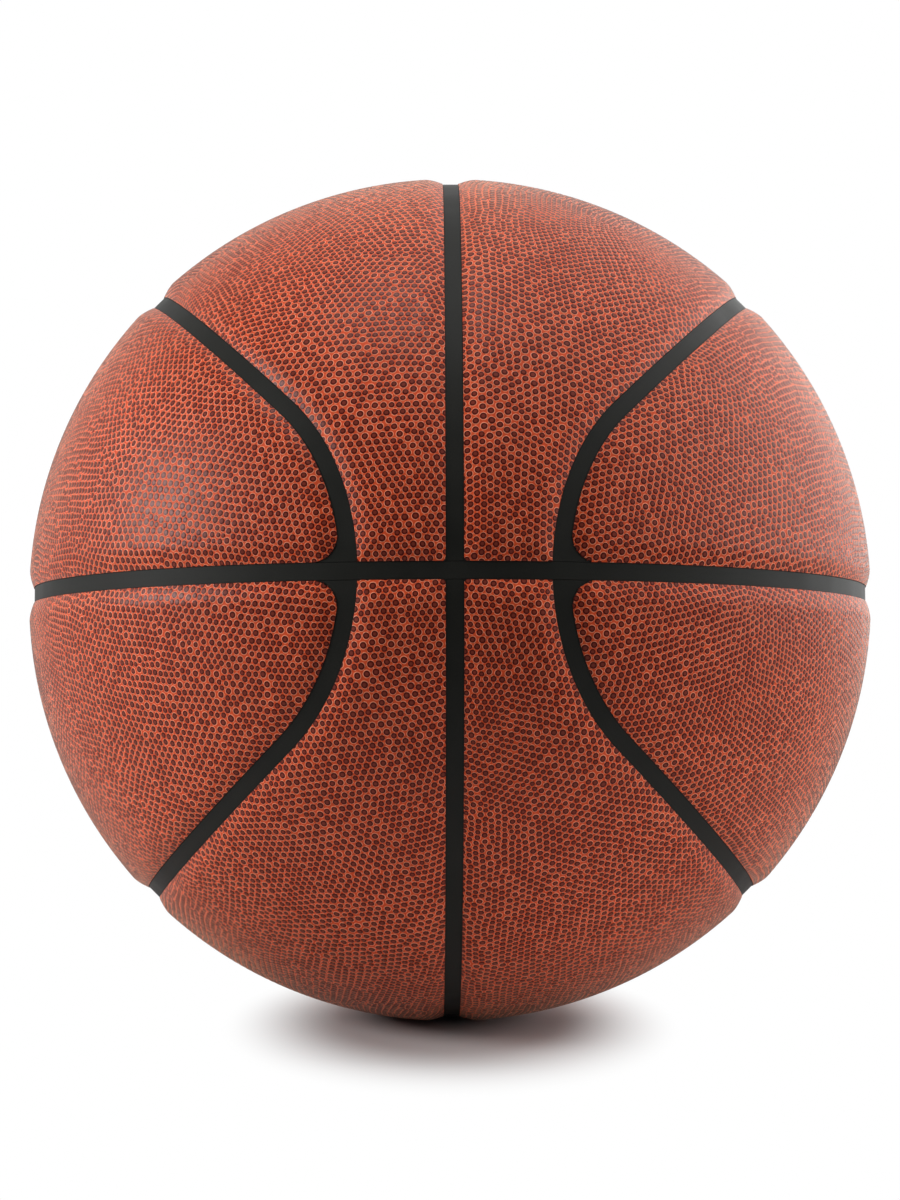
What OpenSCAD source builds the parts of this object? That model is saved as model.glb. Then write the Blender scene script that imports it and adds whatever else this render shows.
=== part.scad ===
// Inflated basketball with eight laminated cover panels.
// Millimetres. The origin is the centre of the ball and +Z is up. The equator channel lies
// in the XY plane and the centre channel in the YZ plane. The front of the ball is at -Y.

/* [Ball] */
// Diameter over the crowns of the cover panels
ball_d = 240; // [228:1:248]
// Distance over the surface from the centre channel to a curved channel, at the equator
waist = 25.4; // [24:0.1:32]
// Lean of a curved channel from the top of the ball, in degrees
curve_lean = 45; // [42:0.5:48]

/* [Channels] */
// Width of a channel between two cut edges of the cover
channel_w = 4.4; // [3:0.1:5.5]
// Step from the cut edge of the cover down to the channel floor
channel_step = 0.5; // [0.3:0.05:0.55]
// Height that the cover loses from its crown to its cut edge
edge_drop = 1; // [0.6:0.05:1.1]
// Width of the rolled shoulder along a cut edge
shoulder_w = 6.5; // [4:0.5:7]
// Rounding of the two tips of an end panel
corner_r = 6; // [4:0.5:8]

/* [Layers] */
// Thickness of the pebbled cover at its crown
cover_t = 1.55; // [1.4:0.05:2]
// Thickness of the sponge backing under each cover panel
backing_t = 1.4; // [1:0.1:2]
// Thickness of the moulded rubber carcass
carcass_t = 1.1; // [0.8:0.1:2]
// Thickness of the wound nylon thread
winding_t = 0.5; // [0.3:0.1:1]
// Thickness of the butyl bladder
bladder_t = 0.7; // [0.5:0.1:1.2]
// Thickness of a cement film between two layers
cement_t = 0.1; // [0.05:0.01:0.15]
// Gap between the edge of a panel and the side of a channel strip
side_gap = 0.12; // [0.05:0.01:0.3]

/* [Valve] */
// Height of the valve above the equator, in degrees
valve_up = 24; // [20:1:28]
// Radius of the valve plug
plug_r = 3.2; // [2.8:0.1:4]
// Depth of the plug's face under the crown of the cover
plug_recess = 0.4; // [0.2:0.1:0.8]
// Length of the valve plug, with its bulb
plug_l = 17; // [16:0.5:20]
// Radius of the bulb that holds the plug in its seat
bulb_r = 4.2; // [4.1:0.1:5]
// Length of the bulb
bulb_l = 4; // [3:0.5:5]
// Radius of the needle hole in the valve plug
needle_r = 1.05; // [0.8:0.05:1.2]
// Depth of the needle hole under its funnel
needle_depth = 10; // [8:0.5:11]
// Radius of the mouth of the needle hole
funnel_r = 1.7; // [1.5:0.1:2.2]
// Outer radius of the valve seat's tube
seat_r = 5.4; // [5:0.1:7]
// Radius of the flange of the valve seat, cemented inside the bladder
flange_r = 12; // [10:0.5:16]
// Thickness of that flange
flange_t = 1.2; // [0.8:0.1:2]
// Gap all round the plug and the tube of its seat
plug_gap = 0.1; // [0.05:0.01:0.2]

/* [Hidden] */

smooth = 160;              // sides of a round surface
overrun = 2;               // how far a cutter runs past what it cuts
ball_r = ball_d / 2;
half_w = channel_w / 2;
strip_half_w = half_w - side_gap;

// Radius of each layer, from the crown inwards
cover_in = ball_r - cover_t;
backing_out = cover_in - cement_t;
backing_in = backing_out - backing_t;
carcass_out = backing_in - cement_t;
carcass_in = carcass_out - carcass_t;
winding_out = carcass_in - cement_t;
winding_in = winding_out - winding_t;
bladder_out = winding_in - cement_t;
bladder_in = bladder_out - bladder_t;
flange_out = bladder_in - cement_t;
edge_r = ball_r - edge_drop;
strip_out = edge_r - channel_step;
strip_in = carcass_out + cement_t;

// The rolled shoulder follows these shares of its width; past 1 it rises over the crown
shoulder_shares = [0, 0.25, 0.55, 1.25];
shoulder_power = 1.5;      // the shoulder's slope eases off towards the crown
above_share = 1.3;         // radius of the top of an uncut panel, of the ball's radius
above_r = ball_r * above_share;

// A curved channel is a great circle that leans from the top of the ball. Near the front and
// the back, a smaller circle round curve_axis joins its upper and lower halves.
waist_angle = degrees(waist);
curve_r = atan2(cos(curve_lean) * sin(waist_angle), 1 - cos(curve_lean) * cos(waist_angle));
curve_axis = direction(waist_angle + curve_r, 0);
lean_axis = [cos(curve_lean), 0, sin(curve_lean)];
lean_top = [-sin(curve_lean), 0, cos(curve_lean)];
lean_join = square_to(lean_axis, curve_axis);

// Points along the stretches of a cover panel's outline, for the front half of the ball. A
// layer under the cover needs this share of those at the corners and along the lean.
corner_steps = 6;
curve_steps = 12;
lean_steps = 16;
under_share = 0.5;

// The valve sits behind, halfway between the centre channel and a curved channel
valve_round = 180 + asin(tan(valve_up) * tan(curve_lean)) / 2;
plug_face = ball_r - plug_recess;
plug_tip = plug_face - plug_l;
seat_tip = plug_tip + bulb_l + plug_gap;
bulb_tip_share = 0.6;      // radius of the plug's tip, of the plug's radius
funnel_depth = funnel_r - needle_r;
needle_floor = plug_face - funnel_depth - needle_depth;

// Angle at the centre of the ball for a distance over its surface
function degrees(distance) = distance / ball_r * 180 / PI;
function unit(v) = v / norm(v);
function reversed(list) = [for (i = [len(list) - 1:-1:0]) list[i]];
function to_back(point) = [point.x, -point.y, point.z];
// The direction square to an axis that lies nearest to v
function square_to(axis, v) = unit(v - (axis * v) * axis);
// The direction at an angle round the equator from the front, and at an angle above it
function direction(round, up) = [-sin(round) * cos(up), -cos(round) * cos(up), sin(up)];
// The angle that turns one direction into another round an axis
function turn_between(axis, first, last) =
    let (a = square_to(axis, first), b = square_to(axis, last))
    atan2(cross(a, b) * axis, a * b);
// A direction turned round an axis
function turned(axis, v, angle) =
    v * cos(angle) + cross(axis, v) * sin(angle) + axis * (axis * v) * (1 - cos(angle));
// Directions along a circle on the ball, without the last one
function arc(axis, first, last, steps) =
    let (whole = turn_between(axis, first, last))
    [for (i = [0:steps - 1]) turned(axis, first, whole * i / steps)];
// A front half and its mirror image behind, joined at the top of the ball
function front_and_back(front, top) = concat(
    front, [top], reversed([for (p = front) to_back(p)])
);

// The long curved side of an end panel, off the middle of the channels, with tips of radius r
function end_curve(off, r, share = 1) =
    let (
        e = degrees(off),
        q = degrees(r),
        to_corner = acos(cos(curve_r - e - q) / cos(e + q)),
        round = waist_angle + curve_r - to_corner,
        corner = direction(round, e + q),
        tip = direction(round, e),
        rounded = cos(curve_r - e) * curve_axis
            + sin(curve_r - e) * square_to(curve_axis, corner),
        join = cos(e) * lean_join - sin(e) * lean_axis,
        top = cos(e) * lean_top - sin(e) * lean_axis
    )
    front_and_back(concat(
        arc(corner, tip, rounded, corner_steps * share),
        arc(curve_axis, rounded, join, curve_steps),
        arc(lean_axis, join, top, lean_steps * share)
    ), top);

// The side of an end panel along the equator, between its two tips
function end_base(off, r, share = 1) =
    let (
        curve = end_curve(off, r, share),
        last = len(curve) - 1,
        row = arc([0, 0, 1], curve[0], curve[last], last)
    )
    [for (i = [1:last - 1]) row[i]];

// The curved side of a centre panel, off the middle of the channel, with its feet at a
// distance from the middle of the equator channel
function centre_curve(off, foot_off, share = 1) =
    let (
        e = degrees(off),
        f = degrees(foot_off),
        round = waist_angle + curve_r - acos(cos(curve_r + e) / cos(f)),
        join = cos(e) * lean_join + sin(e) * lean_axis,
        top = cos(e) * lean_top + sin(e) * lean_axis
    )
    front_and_back(concat(
        arc(curve_axis, direction(round, f), join, curve_steps),
        arc(lean_axis, join, top, lean_steps * share)
    ), top);

// The side of a centre panel along the centre channel
function centre_base(off, share = 1) =
    let (
        side = sin(degrees(off)),
        foot = [-side, -sqrt(1 - 2 * side * side), side]
    )
    concat(
        arc([1, 0, 0], foot, to_back(foot), 2 * (curve_steps + lean_steps * share)),
        [to_back(foot)]
    );

// One level of a panel: its long curved side, its other side and its radius
function end_level(off, r, share = 1) =
    [end_curve(off, corner_r, share), end_base(off, corner_r, share), r];
function centre_level(off, r, share = 1) =
    [centre_curve(off, off, share), centre_base(off, share), r];
// Height of the rolled shoulder over the ball's radius, and its place across the channel
function shoulder_height(share) =
    edge_drop * sign(share - 1) * pow(abs(share - 1), shoulder_power);
function shoulder_off(share) = half_w + shoulder_w * share;

// A solid between two long sides, from its lowest level to its highest
module layered(levels) {
    curve_n = len(levels[0][0]);
    base_n = len(levels[0][1]);
    n = curve_n + base_n;
    top = n * (len(levels) - 1);
    skip = (curve_n - base_n) / 2;
    function across(i) = n - 1 - min(max(i - skip, 0), base_n - 1);
    cap = [
        for (i = [0:curve_n - 2]) each
            across(i) == across(i + 1)
                ? [[i, i + 1, across(i)]]
                : [[i, i + 1, across(i)], [i + 1, across(i + 1), across(i)]]
    ];
    polyhedron(
        points = [
            for (level = levels) each [for (p = concat(level[0], reversed(level[1]))) p * level[2]]
        ],
        faces = concat(
            [for (f = cap) [f[2], f[1], f[0]]],
            [
                for (k = [0:len(levels) - 2]) each [
                    for (i = [0:n - 1]) let (a = k * n + i, b = k * n + (i + 1) % n) each
                        [[a, b, b + n], [a, b + n, a + n]]
                ]
            ],
            [for (f = cap) [top + f[0], top + f[1], top + f[2]]]
        ),
        convexity = 4
    );
}

// What a layer between two radii keeps of a solid that runs past both of its faces
module in_layer(inside, outside) {
    intersection() {
        children();
        shell(outside, inside);
    }
}

// A ball whose seam and poles lie in the channels
module ball(r) {
    rotate([90, 0, 0]) sphere(r = r, $fn = smooth);
}

module shell(outside, inside) {
    difference() {
        ball(outside);
        ball(inside);
    }
}

// Turns what stands on +Z to the valve
module at_valve() {
    out = direction(valve_round, valve_up);
    rotate([0, 90 - valve_up, atan2(out.y, out.x)]) children();
}

// Cuts a round hole for the valve through every layer
module valve_hole(r) {
    difference() {
        children();
        at_valve() translate([0, 0, seat_tip]) cylinder(r = r, h = ball_r, $fn = smooth);
    }
}

// Puts a piece of the upper left quarter into another quarter of the ball
module quarter(right, lower) {
    mirror([right, 0, 0]) mirror([0, 0, lower]) children();
}

module bladder() {
    color("#3a3836") valve_hole(seat_r + plug_gap) shell(bladder_out, bladder_in);
}

module thread_winding() {
    color("#ddd6c4") valve_hole(seat_r + plug_gap) shell(winding_out, winding_in);
}

module carcass() {
    color("#2b2926") valve_hole(seat_r + plug_gap) shell(carcass_out, carcass_in);
}

module valve_seat() {
    color("#4a4744") difference() {
        intersection() {
            ball(backing_out);
            union() {
                at_valve() translate([0, 0, seat_tip])
                    cylinder(r = seat_r, h = ball_r - seat_tip, $fn = smooth);
                intersection() {
                    shell(flange_out, flange_out - flange_t);
                    at_valve() cylinder(r = flange_r, h = ball_r, $fn = smooth);
                }
            }
        }
        at_valve() cylinder(r = plug_r + plug_gap, h = ball_r, $fn = smooth);
    }
}

module valve_plug() {
    bulb_middle = plug_tip + bulb_l / 2;
    color("#1d1c1b") at_valve() rotate_extrude($fn = smooth) polygon([
        [0, plug_tip],
        [plug_r * bulb_tip_share, plug_tip],
        [bulb_r, bulb_middle],
        [bulb_r, plug_tip + bulb_l],
        [plug_r, plug_tip + bulb_l],
        [plug_r, plug_face],
        [funnel_r, plug_face],
        [needle_r, plug_face - funnel_depth],
        [needle_r, needle_floor],
        [0, needle_floor]
    ]);
}

// Cross-section of a channel strip that runs in the plane square to the axis of revolution
module strip_section() {
    a = degrees(strip_half_w);
    polygon([
        for (spot = [[strip_in, -a], [strip_out, -a], [strip_out, a], [strip_in, a]])
            spot[0] * [cos(spot[1]), sin(spot[1])]
    ]);
}

module channel_equator() {
    color("#242320") rotate_extrude($fn = smooth) strip_section();
}

// Half of the centre channel's strip, over the top of the ball and down to the equator strip
module channel_centre_top() {
    e = degrees(half_w);
    color("#242320") rotate([0, -90, 0]) rotate([0, 0, e - 90])
        rotate_extrude(angle = 180 - 2 * e, $fn = smooth) strip_section();
}

module channel_centre_bottom() {
    mirror([0, 0, 1]) channel_centre_top();
}

// The upper left half of a curved channel's strip. It widens at its feet to fill the space
// beside the rounded tips of the end panel.
module curved_strip() {
    outer_r = corner_r + side_gap;
    color("#242320") difference() {
        in_layer(strip_in, strip_out) layered([
            for (r = [strip_in - overrun, strip_out + overrun])
                [end_curve(strip_half_w, outer_r), centre_curve(strip_half_w, strip_half_w), r]
        ]);
        equator_space();
    }
}

// The space of the equator channel, up to the cut edges of the cover
module equator_space() {
    a = degrees(half_w);
    inside = strip_in - overrun;
    outside = strip_out + overrun;
    rotate_extrude($fn = smooth) polygon([
        for (spot = [[inside, -a], [outside, -a], [outside, a], [inside, a]])
            spot[0] * [cos(spot[1]), sin(spot[1])]
    ]);
}

module end_backing() {
    color("#8c8377") in_layer(backing_in, backing_out) layered([
        for (r = [backing_in - overrun, above_r]) end_level(half_w, r, under_share)
    ]);
}

module centre_backing() {
    color("#8c8377") in_layer(backing_in, backing_out) layered([
        for (r = [backing_in - overrun, above_r]) centre_level(half_w, r, under_share)
    ]);
}

module end_cover() {
    color("#a4472b") in_layer(cover_in, ball_r) layered([
        end_level(half_w, cover_in - overrun),
        for (s = shoulder_shares) end_level(shoulder_off(s), ball_r + shoulder_height(s)),
        end_level(shoulder_off(max(shoulder_shares)), above_r)
    ]);
}

module centre_cover() {
    color("#a4472b") in_layer(cover_in, ball_r) layered([
        centre_level(half_w, cover_in - overrun),
        for (s = shoulder_shares) centre_level(shoulder_off(s), ball_r + shoulder_height(s)),
        centre_level(shoulder_off(max(shoulder_shares)), above_r)
    ]);
}

module channel_curve_upper_left() { quarter(0, 0) curved_strip(); }
module channel_curve_lower_left() { quarter(0, 1) curved_strip(); }
module channel_curve_upper_right() { quarter(1, 0) curved_strip(); }
module channel_curve_lower_right() { quarter(1, 1) curved_strip(); }

module backing_end_upper_left() { quarter(0, 0) end_backing(); }
module backing_end_lower_left() { quarter(0, 1) end_backing(); }
module backing_end_upper_right() { quarter(1, 0) end_backing(); }
module backing_end_lower_right() { quarter(1, 1) end_backing(); }
module backing_centre_upper_left() { quarter(0, 0) centre_backing(); }
module backing_centre_lower_left() { quarter(0, 1) centre_backing(); }
module backing_centre_upper_right() { valve_hole(seat_r + plug_gap) quarter(1, 0) centre_backing(); }
module backing_centre_lower_right() { quarter(1, 1) centre_backing(); }

module cover_end_upper_left() { quarter(0, 0) end_cover(); }
module cover_end_lower_left() { quarter(0, 1) end_cover(); }
module cover_end_upper_right() { quarter(1, 0) end_cover(); }
module cover_end_lower_right() { quarter(1, 1) end_cover(); }
module cover_centre_upper_left() { quarter(0, 0) centre_cover(); }
module cover_centre_lower_left() { quarter(0, 1) centre_cover(); }
module cover_centre_upper_right() { valve_hole(plug_r + plug_gap) quarter(1, 0) centre_cover(); }
module cover_centre_lower_right() { quarter(1, 1) centre_cover(); }

bladder();
valve_seat();
valve_plug();
thread_winding();
carcass();
channel_equator();
channel_centre_top();
channel_centre_bottom();
channel_curve_upper_left();
channel_curve_lower_left();
channel_curve_upper_right();
channel_curve_lower_right();
backing_end_upper_left();
backing_end_lower_left();
backing_end_upper_right();
backing_end_lower_right();
backing_centre_upper_left();
backing_centre_lower_left();
backing_centre_upper_right();
backing_centre_lower_right();
cover_end_upper_left();
cover_end_lower_left();
cover_end_upper_right();
cover_end_lower_right();
cover_centre_upper_left();
cover_centre_lower_left();
cover_centre_upper_right();
cover_centre_lower_right();
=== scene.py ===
"""Looks of an inflated eight-panel basketball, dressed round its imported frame.

The frame gives every layer of the ball at its true size and place.  This script gives the eight
cover panels their pebbled grain as real relief, gives the rubber channels, the valve and the
inner layers their finishes, and sets up a plain white studio with the photograph's camera.
"""
import logging
import math
import random
from dataclasses import dataclass, field
from enum import Enum
from functools import partial
from typing import Callable, Sequence

import bmesh
import bpy
import numpy as np
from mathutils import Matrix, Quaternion, Vector, noise
from mathutils.geometry import delaunay_2d_cdt


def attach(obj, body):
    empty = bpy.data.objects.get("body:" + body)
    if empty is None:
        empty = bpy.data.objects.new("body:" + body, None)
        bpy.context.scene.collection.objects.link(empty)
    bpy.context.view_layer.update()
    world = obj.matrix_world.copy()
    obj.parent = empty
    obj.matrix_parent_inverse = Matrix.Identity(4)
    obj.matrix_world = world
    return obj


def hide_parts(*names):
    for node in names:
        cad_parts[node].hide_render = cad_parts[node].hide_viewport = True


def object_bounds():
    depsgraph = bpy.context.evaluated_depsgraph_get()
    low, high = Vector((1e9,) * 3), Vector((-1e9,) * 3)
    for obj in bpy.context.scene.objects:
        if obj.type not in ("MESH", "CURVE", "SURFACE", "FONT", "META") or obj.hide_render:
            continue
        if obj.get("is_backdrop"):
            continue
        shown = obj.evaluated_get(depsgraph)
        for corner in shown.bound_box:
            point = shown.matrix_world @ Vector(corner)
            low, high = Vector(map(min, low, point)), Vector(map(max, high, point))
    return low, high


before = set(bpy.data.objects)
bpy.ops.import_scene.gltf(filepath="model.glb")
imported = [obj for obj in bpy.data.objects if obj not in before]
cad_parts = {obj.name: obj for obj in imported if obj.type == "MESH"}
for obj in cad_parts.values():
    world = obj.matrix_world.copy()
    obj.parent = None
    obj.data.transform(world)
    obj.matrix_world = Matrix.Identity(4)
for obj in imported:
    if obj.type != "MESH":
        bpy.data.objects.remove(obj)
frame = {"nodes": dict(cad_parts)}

LOG = logging.getLogger("basketball")

MM = 0.001
WHITE = "#FFFFFF"
PERCENT = 100
CUT_SIDE, INNER_SIDE = 1, 2               # material slots of a cover panel, whose skin has slot 0
INSIDE_ONLY = 1                           # triangulation that stays inside its outline
EVEN_NEIGHBOURS = 6                       # edges that meet at each vertex of an even triangle net
NOISE_LOW, NOISE_MIDDLE, NOISE_HIGH = 0.3, 0.5, 0.7    # where nearly all values of a noise lie
WAVE_LENGTH = 0.31                        # from band to band of a wave node whose scale is 1
POLYMER_IOR = 1.5                         # typical of polyurethane, rubber and cloth fibre
SMOOTH = {"interpolation_type": "SMOOTHSTEP"}


class Place(Enum):
    """Where a cover panel lies between the channels."""

    END = "end"
    CENTRE = "centre"


class Half(Enum):
    """Half of the ball above or below the equator channel, with its sign along Z."""

    UPPER = 1
    LOWER = -1


class Side(Enum):
    """Side of the ball, with its sign along X."""

    LEFT = -1
    RIGHT = 1


def linear(code: str) -> tuple[float, float, float, float]:
    """Turns an sRGB hex value to a linear colour.

    Args:
        code: the colour, such as "#BB4E2E".

    Returns:
        Linear red, green and blue, and an alpha of 1.
    """
    # The numbers are those of the sRGB standard's own curve.
    parts = [int(code[i : i + 2], 16) / 255 for i in (1, 3, 5)]
    red, green, blue = (p / 12.92 if p <= 0.04045 else ((p + 0.055) / 1.055) ** 2.4 for p in parts)
    return red, green, blue, 1.0


def add_node(tree: bpy.types.NodeTree, kind: str, settings: dict | None = None,
             inputs: dict | None = None) -> bpy.types.Node:
    """Adds a node to a tree, with its settings and what its sockets hold.

    Args:
        tree: the node tree to add to.
        kind: Blender's name for the node's type.
        settings: values of the node's own properties.
        inputs: for a socket's name or number, a plain value or the output that feeds it.

    Returns:
        The new node.
    """
    node = tree.nodes.new(kind)
    for name, value in (settings or {}).items():
        setattr(node, name, value)
    for name, value in (inputs or {}).items():
        socket = node.inputs[name]
        if isinstance(value, bpy.types.NodeSocket):
            tree.links.new(value, socket)
        else:
            socket.default_value = value
    return node


def middles_of(faces: Sequence[bmesh.types.BMFace]) -> np.ndarray:
    """Gives the middle of each face, one per row."""
    return np.array([face.calc_center_median()[:] for face in faces]).reshape(-1, 3)


def units_of(points: np.ndarray) -> np.ndarray:
    """Gives the unit directions of points from the ball's centre, one per row."""
    return points / np.linalg.norm(points, axis=1)[:, None]


def set_ramp(node: bpy.types.Node, stops: Sequence[tuple[float, str]]) -> None:
    """Gives a colour ramp its stops.

    Args:
        node: the colour ramp.
        stops: each stop's place from 0 to 1 and its sRGB hex colour, in rising order.
    """
    elements = node.color_ramp.elements
    while len(elements) < len(stops):
        elements.new(0.5)      # its place is set below
    for element, (place, code) in zip(elements, stops):
        element.position = place
        element.color = linear(code)


def new_material(name: str) -> tuple[bpy.types.Material, bpy.types.NodeTree, bpy.types.Node]:
    """Starts a material that holds only its output node.

    Args:
        name: the material's name.

    Returns:
        The material, its node tree and its output node.
    """
    material = bpy.data.materials.new(name)
    material.use_nodes = True
    tree = material.node_tree
    tree.nodes.clear()
    output = add_node(tree, "ShaderNodeOutputMaterial")
    return material, tree, output


@dataclass(frozen=True)
class BallSizes:
    """Real sizes of the ball that its panels, channels and grain share, in metres."""

    ball_r: float = 120 * MM
    waist: float = 25.4 * MM                 # from the centre to a curved channel, on the equator
    curve_lean: float = math.radians(45)     # of the curved channels' far stretches
    channel_w: float = 4.4 * MM
    corner_r: float = 6 * MM                 # of an end panel's tips
    corner_cut: float = 0.6 * MM             # off a centre panel's corner at the channels' crossing
    edge_drop: float = 1.3 * MM              # of the skin from its crown to its cut edge
    shoulder_w: float = 4.8 * MM             # of the strip that rolls down
    shoulder_power: float = 1.5
    cover_in: float = 118.45 * MM            # radius of the cover's inner face
    plug_r: float = 3.2 * MM
    plug_gap: float = 0.1 * MM
    valve_up: float = math.radians(24)       # the valve's height over the equator

    @property
    def edge_angle(self) -> float:
        """Gives the angle of half a channel's width, seen from the ball's centre."""
        return self.channel_w / 2 / self.ball_r

    @property
    def tip_angle(self) -> float:
        """Gives the angle of an end panel's tip radius, seen from the ball's centre."""
        return self.corner_r / self.ball_r

    @property
    def waist_angle(self) -> float:
        """Gives the angle from the centre channel to a curved channel on the equator."""
        return self.waist / self.ball_r

    @property
    def bend_angle(self) -> float:
        """Gives the angular radius at which a bend leaves the equator and meets the lean."""
        waist, lean = self.waist_angle, self.curve_lean
        return math.atan2(math.cos(lean) * math.sin(waist), 1 - math.cos(lean) * math.cos(waist))

    @property
    def bend_axis(self) -> np.ndarray:
        """Gives the unit axis of the front left bend, a circle round that axis."""
        return self.direction(self.waist_angle + self.bend_angle, 0)

    @property
    def lean_axis(self) -> np.ndarray:
        """Gives the unit normal of the leaning plane that the left curve follows."""
        return np.array([math.cos(self.curve_lean), 0, math.sin(self.curve_lean)])

    @property
    def tip_axis(self) -> np.ndarray:
        """Gives the unit axis of the rounded front tip of the upper left end panel.

        Returns:
            The axis, as far from the bend's edge and the equator's as the tip's radius.
        """
        edge, tip, bend = self.edge_angle, self.tip_angle, self.bend_angle
        to_tip = math.acos(math.cos(bend - edge - tip) / math.cos(edge + tip))
        return self.direction(self.waist_angle + bend - to_tip, edge + tip)

    @property
    def valve_axis(self) -> np.ndarray:
        """Gives the unit direction of the valve, as mirrored to the upper left quarter behind."""
        across = math.asin(math.tan(self.valve_up) * math.tan(self.curve_lean)) / 2
        return self.direction(math.pi + across, self.valve_up) * (-1, 1, 1)

    @staticmethod
    def direction(round_by: float, up: float) -> np.ndarray:
        """Gives the unit direction at an angle round from the front and up from the equator."""
        flat = math.cos(up)
        return np.array([-math.sin(round_by) * flat, -math.cos(round_by) * flat, math.sin(up)])


@dataclass(frozen=True)
class Outline:
    """Outline of one cover panel, worked out in the ball's upper left quarter."""

    sizes: BallSizes
    place: Place
    valve: bool = False
    side_reach: float = 0.5        # cosine to its normal up to which a straight channel's plane cuts
    corner_reach: float = 0.1      # the same for the plane of the cut corner

    @staticmethod
    def to_front(units: np.ndarray) -> np.ndarray:
        """Folds directions behind the ball to the front, since both are alike."""
        return units * (1, 0, 1) - np.abs(units) * (0, 1, 0)

    def in_bend(self, units: np.ndarray) -> np.ndarray:
        """Tells which directions lie beside a bend, and not beside the leaning stretch.

        Args:
            units: unit directions in the upper left quarter, one per row.

        Returns:
            One truth value per row.
        """
        divider = np.cross(self.sizes.bend_axis, self.sizes.lean_axis)
        return self.to_front(units) @ divider < 0

    def in_tip(self, units: np.ndarray) -> np.ndarray:
        """Tells which directions lie in an end panel's corner, where its tip is rounded.

        Args:
            units: unit directions in the upper left quarter, one per row.

        Returns:
            One truth value per row.
        """
        sizes = self.sizes
        inset = sizes.channel_w / 2 + sizes.corner_r
        from_equator = sizes.ball_r * np.arcsin(units[:, 2])
        return (self.curve_depth(units) < inset) & (from_equator < inset)

    def curve_depth(self, units: np.ndarray) -> np.ndarray:
        """Measures from the middle of the curved channel, towards the end of the ball.

        Args:
            units: unit directions in the upper left quarter, one per row.

        Returns:
            Distances along the ball, in metres.
        """
        folded = self.to_front(units)
        beside_bend = self.sizes.bend_angle - np.arccos(np.clip(folded @ self.sizes.bend_axis, -1, 1))
        beside_lean = -np.arcsin(np.clip(folded @ self.sizes.lean_axis, -1, 1))
        return self.sizes.ball_r * np.where(self.in_bend(units), beside_bend, beside_lean)

    def edge_distance(self, points: np.ndarray) -> np.ndarray:
        """Measures how far points lie inside the panel's cut edge.

        Args:
            points: points in the upper left quarter, one per row.

        Returns:
            Distances along the ball in metres, negative outside the panel.
        """
        sizes = self.sizes
        units = units_of(points)
        half = sizes.channel_w / 2
        from_equator = sizes.ball_r * np.arcsin(units[:, 2]) - half
        if self.place is Place.END:
            inside = np.minimum(self.curve_depth(units) - half, from_equator)
            to_tip = np.arccos(np.clip(self.to_front(units) @ sizes.tip_axis, -1, 1))
            return np.where(self.in_tip(units), sizes.corner_r - sizes.ball_r * to_tip, inside)
        from_curve = -self.curve_depth(units) - half
        from_centre = sizes.ball_r * np.arcsin(-units[:, 0]) - half
        from_corner = (from_centre + from_equator - sizes.corner_cut) / math.sqrt(2)
        inside = np.minimum.reduce([from_curve, from_centre, from_equator, from_corner])
        if self.valve:
            inside = np.minimum(inside, self.hole_distance(units))
        return inside

    def hole_distance(self, units: np.ndarray) -> np.ndarray:
        """Measures how far directions lie outside the valve's hole.

        Args:
            units: unit directions in the upper left quarter, one per row.

        Returns:
            Distances along the ball in metres, negative inside the hole.
        """
        sizes = self.sizes
        off = np.arccos(np.clip(units @ sizes.valve_axis, -1, 1))
        return sizes.ball_r * off - sizes.plug_r - sizes.plug_gap

    def cuts(self) -> list[tuple[np.ndarray, float, Callable[[np.ndarray], np.ndarray]]]:
        """Lists the planes that cut the panel's edge out of the ball's skin.

        Returns:
            For each plane its unit normal, its distance from the ball's centre in metres, and a
            function that tells which points of the skin it may cut.
        """
        sizes = self.sizes
        end = self.place is Place.END
        edge = sizes.edge_angle
        bend_off = sizes.ball_r * math.cos(sizes.bend_angle - edge if end else sizes.bend_angle + edge)
        step = sizes.ball_r * math.sin(edge)
        planes = [
            (np.array([0, 0, 1]), step, lambda units: units[:, 2] < self.side_reach),
            (sizes.lean_axis, -step if end else step, lambda units: ~self.in_bend(units)),
        ]
        for facing in (1, -1):
            mirrored = np.array([1, facing, 1])
            in_bend = partial(self.on_side, self.in_bend, facing)
            planes.append((sizes.bend_axis * mirrored, bend_off, in_bend))
            if end:
                tip_off = sizes.ball_r * math.cos(sizes.tip_angle)
                in_tip = partial(self.on_side, self.in_tip, facing)
                planes.append((sizes.tip_axis * mirrored, tip_off, in_tip))
        if not end:
            sideways = np.array([-1, 0, 0])
            planes.append((sideways, step, lambda units: units @ sideways < self.side_reach))
            slanted = np.array([-1, 0, 1]) / math.sqrt(2)
            slant_off = (2 * step + sizes.corner_cut) / math.sqrt(2)
            planes.append((slanted, slant_off, lambda units: units @ slanted < self.corner_reach))
        if self.valve:
            hole_off = sizes.ball_r * math.cos((sizes.plug_r + sizes.plug_gap) / sizes.ball_r)
            planes.append((sizes.valve_axis, hole_off, lambda units: units @ sizes.valve_axis > 0))
        return planes

    @staticmethod
    def on_side(zone: Callable[[np.ndarray], np.ndarray], facing: int, units: np.ndarray) -> np.ndarray:
        """Tells which directions lie in a zone's half in front (facing 1) or behind (-1)."""
        return zone(units) & (units[:, 1] * facing < 0)


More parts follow.
